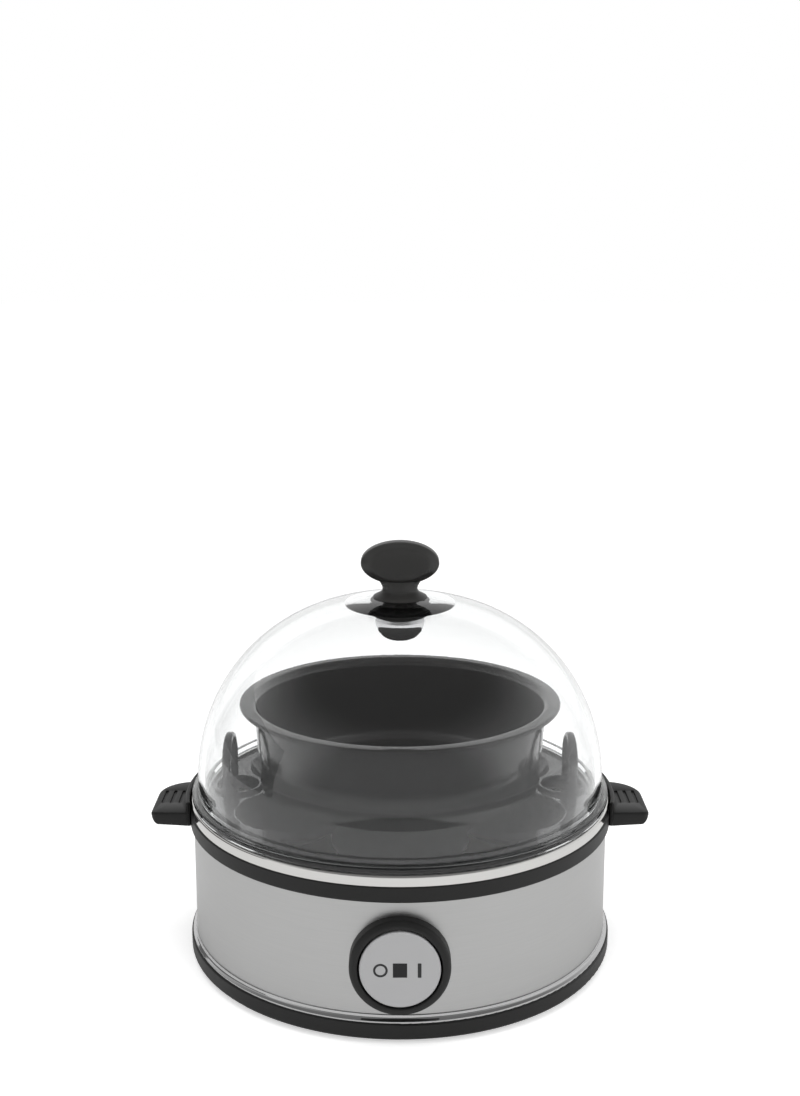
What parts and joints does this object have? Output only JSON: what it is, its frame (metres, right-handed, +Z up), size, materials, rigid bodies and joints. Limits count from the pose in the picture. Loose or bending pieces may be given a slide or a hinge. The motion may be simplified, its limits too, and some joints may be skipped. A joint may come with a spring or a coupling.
{
  "type": "egg cooker",
  "caption": "Round electric egg cooker: steel base with heated dish, rocker switch and side handles, lift-out egg tray, poaching bowl and clear domed lid with knob.",
  "frame": {"origin": "centre of the rubber feet's resting plane, under the axis of the round body", "axes": "+Z up along the body axis, -Y out of the switch, +X towards the handle at the right of the switch"},
  "size_m": [0.1948, 0.1748, 0.1643],
  "materials": {
    "satin_steel": "satin, brushed around the body",
    "polished_steel": "polished, satin on the well floor",
    "bright_trim": "bright plated",
    "black_plastic": "fine matte texture",
    "switch_grey": "satin, silver grey",
    "indicator_lens": "dark smoked lens",
    "tray_black": "high gloss moulding",
    "bowl_black": "satin outside, gloss inside",
    "clear_plastic": "clear moulding",
    "black_rubber": "matte",
    "cast_aluminium": "die-cast",
    "element_steel": "oxidised tube",
    "zinc_steel": "zinc plated",
    "ivory_phenolic": "moulded phenolic",
    "white_nylon": "moulded nylon",
    "fuse_brass": "plated can",
    "lead_brown": "silicone sleeve",
    "lead_white": "silicone sleeve",
    "lead_blue": "silicone sleeve",
    "lead_green": "silicone sleeve"
  },
  "bodies": {
    "base": {"bottom_cover": "black_plastic", "rubber_feet": "black_rubber", "clamp_screws": "zinc_steel", "weld_nuts": "zinc_steel", "steel_wall": "satin_steel", "trim_ring": "bright_trim", "upper_ring": "black_plastic", "handle_right": "black_plastic", "handle_left": "black_plastic", "heating_dish": "polished_steel", "heater_plate": "cast_aluminium", "heating_element": "element_steel", "thermostat": "ivory_phenolic", "thermostat_strap": "zinc_steel", "strap_screws": "zinc_steel", "thermal_fuse": "fuse_brass", "fuse_clip": "zinc_steel", "switch_bezel": "black_plastic", "switch_retainer": "black_plastic", "switch_body": "black_plastic", "rocker_pin": "zinc_steel", "terminal_block": "white_nylon", "terminal_screws": "zinc_steel", "cord_gland": "black_rubber", "lead_live": "lead_brown", "lead_switch": "lead_white", "lead_thermostat": "lead_white", "lead_fuse": "lead_white", "lead_neutral": "lead_blue", "lead_earth": "lead_green"},
    "tray": {"egg_tray": "tray_black", "egg_cups": "tray_black", "tray_loops": "tray_black"},
    "bowl": {"poaching_bowl": "bowl_black"},
    "lid": {"lid_dome": "clear_plastic", "lid_knob": "black_plastic", "knob_seal": "black_rubber", "knob_screw": "bright_trim"},
    "rocker": {"switch_rocker": "switch_grey", "indicator_window": "indicator_lens"}
  },
  "joints": [
    {"name": "tray_lift", "type": "slide", "parent": "base", "child": "tray", "axis": [0, 0, 1], "range_m": [0, 0.0717]},
    {"name": "bowl_lift", "type": "slide", "parent": "tray", "child": "bowl", "axis": [0, 0, 1], "range_m": [0, 0.0378]},
    {"name": "lid_lift", "type": "slide", "parent": "bowl", "child": "lid", "axis": [0, 0, 1], "range_m": [0, 0.0696]},
    {"name": "rocker_tilt", "type": "hinge", "parent": "base", "child": "rocker", "pos_m": [0, -0.0844, 0.0305], "axis": [0, 0, 1], "range_deg": [-5, 5]}
  ]
}
